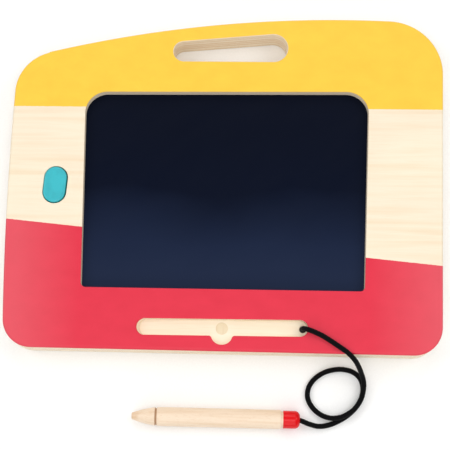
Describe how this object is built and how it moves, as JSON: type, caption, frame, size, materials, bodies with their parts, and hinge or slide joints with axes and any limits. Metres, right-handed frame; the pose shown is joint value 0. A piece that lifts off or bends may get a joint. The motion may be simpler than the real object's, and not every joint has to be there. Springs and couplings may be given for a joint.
{
  "type": "toy drawing tablet",
  "caption": "Wooden drawing board with an erasable LCD screen, a handle slot, an erase button and a stylus groove, with a wooden stylus tethered by a cord.",
  "frame": {"origin": "middle of the board's back face, on which it lies", "axes": "+X to the right across the painted face, +Y towards the handle slot, +Z out of the painted face"},
  "size_m": [0.2756, 0.2616, 0.0247],
  "materials": {
    "painted_plywood": "satin paint over birch plywood in three zones",
    "core_plywood": "bare birch plywood edge",
    "back_plywood": "bare sanded birch plywood",
    "stylus_wood": "turned and sanded beech",
    "lcd_film": "dark writing film behind clear plastic",
    "foam": "black foam tape",
    "dark_abs": "moulded black plastic",
    "polyimide": "amber flat cable",
    "circuit_board": "green solder mask",
    "chip_plastic": "moulded black epoxy",
    "switch_plastic": "moulded pale plastic",
    "teal_plastic": "satin moulded teal plastic",
    "door_plastic": "fine textured wood-coloured plastic",
    "red_plastic": "glossy moulded red plastic",
    "screw_steel": "zinc-plated steel",
    "spring_steel": "sheet spring steel",
    "contact_brass": "plated brass",
    "cell_steel": "nickel-plated steel can",
    "magnet_nickel": "nickel-plated, lacquered over with the groove floor",
    "black_cord": "braided polyester cord"
  },
  "bodies": {
    "board": {"front_panel": "painted_plywood", "core_frame": "core_plywood", "back_panel": "back_plywood", "panel_screws": "screw_steel", "lcd_screen": "lcd_film", "screen_gasket": "foam", "screen_tray": "dark_abs", "screen_tail": "polyimide", "control_board": "circuit_board", "board_parts": "chip_plastic", "board_screws": "screw_steel", "tact_switch": "chip_plastic", "switch_dome": "spring_steel", "battery_holder": "dark_abs", "contact_plus": "contact_brass", "contact_minus": "contact_brass", "coin_cell": "cell_steel", "battery_door": "door_plastic", "door_screw": "screw_steel", "door_insert": "contact_brass", "tray_magnet": "magnet_nickel", "tether_knot": "black_cord", "tether_cord": "black_cord"},
    "button": {"erase_button": "teal_plastic", "switch_plunger": "switch_plastic"},
    "stylus": {"stylus_barrel": "stylus_wood", "stylus_core": "screw_steel", "stylus_cap": "red_plastic", "cap_knot": "black_cord"}
  },
  "joints": [
    {"name": "erase_press", "type": "slide", "parent": "board", "child": "button", "axis": [0, 0, -1], "range_m": [0, 0.0008], "stiffness_N_per_m": 900, "springref_m": -0.0006, "deforming": ["switch_dome"]},
    {"name": "stylus_lift", "type": "slide", "parent": "board", "child": "stylus", "axis": [0, 0, 1], "range_m": [0, 0.03], "deforming": ["tether_cord"]}
  ]
}
